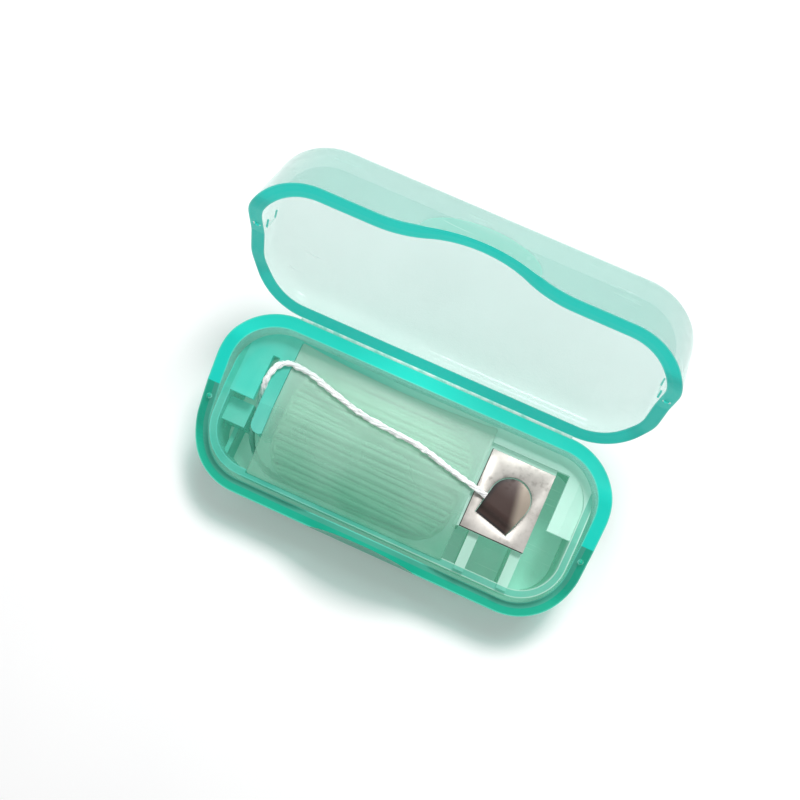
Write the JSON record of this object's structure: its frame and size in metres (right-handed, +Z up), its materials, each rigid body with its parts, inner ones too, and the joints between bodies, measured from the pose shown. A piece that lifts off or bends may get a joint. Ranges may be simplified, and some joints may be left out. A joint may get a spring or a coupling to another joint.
{
  "type": "dental floss dispenser",
  "caption": "Pocket floss dispenser: translucent case with an arched snap lid on a living hinge, wound floss under a clear cover, and a steel cutter plate.",
  "frame": {"origin": "middle of the flat face under the base, which the dispenser stands on", "axes": "+Z up, +Y towards the hinge at the back, X along the case with the cutter plate at +X; the lid stands open at rest"},
  "size_m": [0.064, 0.0491, 0.045],
  "materials": {
    "base_plastic": "glossy translucent teal polypropylene, saturated at its thick edges",
    "lid_plastic": "glossy translucent teal polypropylene, pale where it is thin",
    "hinge_film": "thin pale flexed film",
    "insert_plastic": "pale translucent moulding, satin",
    "clear_plastic": "thin clear pane, glossy",
    "cutter_steel": "bright stamped stainless steel with faint smudges",
    "floss": "white waxed multifilament floss"
  },
  "bodies": {
    "base": {"base_shell": "base_plastic", "hinge_film_base": "hinge_film", "floss_insert": "insert_plastic", "well_cover": "clear_plastic", "cutter_plate": "cutter_steel", "floss_core": "floss", "floss_winding": "floss", "floss_lead": "floss"},
    "lid": {"lid_shell": "lid_plastic", "hinge_film_lid": "hinge_film"}
  },
  "joints": [
    {"name": "lid_hinge", "type": "hinge", "parent": "base", "child": "lid", "pos_m": [0, 0.01405, 0.01864], "axis": [1, 0, 0], "range_deg": [-45, 132]}
  ]
}
